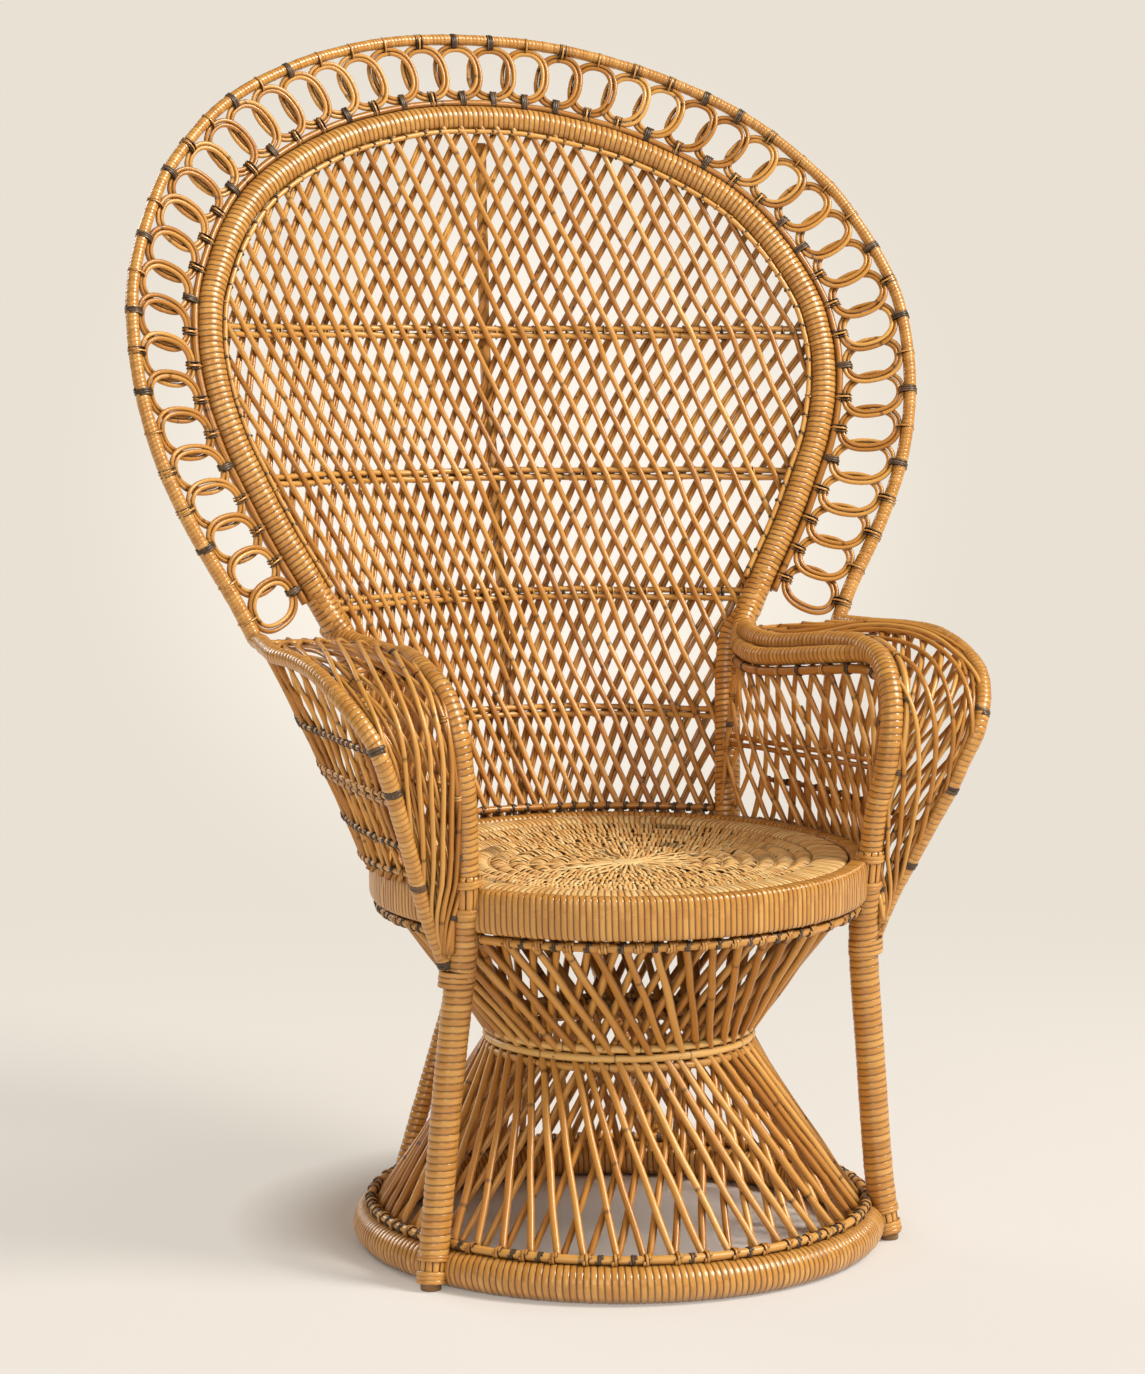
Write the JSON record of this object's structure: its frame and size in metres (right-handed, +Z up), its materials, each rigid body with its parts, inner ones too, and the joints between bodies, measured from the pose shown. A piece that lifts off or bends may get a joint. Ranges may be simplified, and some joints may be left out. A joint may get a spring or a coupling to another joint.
{
  "type": "peacock chair",
  "caption": "High-backed woven rattan armchair with a wide hooped fan back, round seat, winged arms and an hourglass base of crossing cane.",
  "frame": {"origin": "middle of the bounding box's underside, on the floor", "axes": "+X to the sitter's left, which is the picture's right, +Y to the back of the chair, +Z up"},
  "size_m": [0.9914, 0.7798, 1.3915],
  "materials": {
    "wrapped_cane": "smooth split cane wound round poles, satin varnish, honey gold",
    "bare_cane": "thin round canes, satin varnish, golden brown with darker nodes",
    "woven_seat": "split cane woven flat in rings, satin varnish, flecked with dark brown",
    "dark_cane": "cane slat and bars in shade, brown, low sheen",
    "foot_wood": "raw pole end, matt brown"
  },
  "bodies": {
    "root": {"arm_panel_left": "bare_cane", "arm_panel_right": "bare_cane", "arm_panel_rod_left": "bare_cane", "arm_panel_rod_right": "bare_cane", "arm_rail_left": "wrapped_cane", "arm_rail_right": "wrapped_cane", "arm_under_rail_left": "wrapped_cane", "arm_under_rail_right": "wrapped_cane", "back_bottom_rod": "bare_cane", "back_net": "bare_cane", "back_post_left": "wrapped_cane", "back_post_right": "wrapped_cane", "back_rod_1": "bare_cane", "back_rod_2": "bare_cane", "back_rod_3": "bare_cane", "back_rod_4": "bare_cane", "back_slat": "dark_cane", "base_lash_ring": "bare_cane", "base_ring": "wrapped_cane", "front_foot_plug_left": "foot_wood", "front_foot_plug_right": "foot_wood", "front_leg_left": "wrapped_cane", "front_leg_right": "wrapped_cane", "hoop_lash_rod": "bare_cane", "inner_hoop": "wrapped_cane", "lower_stakes": "bare_cane", "outer_hoop": "wrapped_cane", "rear_foot_plug_left": "foot_wood", "rear_foot_plug_right": "foot_wood", "rear_leg_left": "wrapped_cane", "rear_leg_right": "wrapped_cane", "ring_garland": "bare_cane", "seat_brace_back": "dark_cane", "seat_brace_front": "dark_cane", "seat_lash_ring": "bare_cane", "seat_panel": "woven_seat", "seat_rim": "wrapped_cane", "side_panel_left": "bare_cane", "side_panel_right": "bare_cane", "side_panel_rod_left": "bare_cane", "side_panel_rod_right": "bare_cane", "upper_stakes": "bare_cane", "waist_hoop_lower": "bare_cane", "waist_hoop_middle": "bare_cane", "waist_hoop_upper": "bare_cane", "wing_cover_left": "bare_cane", "wing_cover_right": "bare_cane", "wing_lash_rod_left": "bare_cane", "wing_lash_rod_right": "bare_cane", "wing_rail_left": "wrapped_cane", "wing_rail_right": "wrapped_cane"}
  },
  "joints": []
}
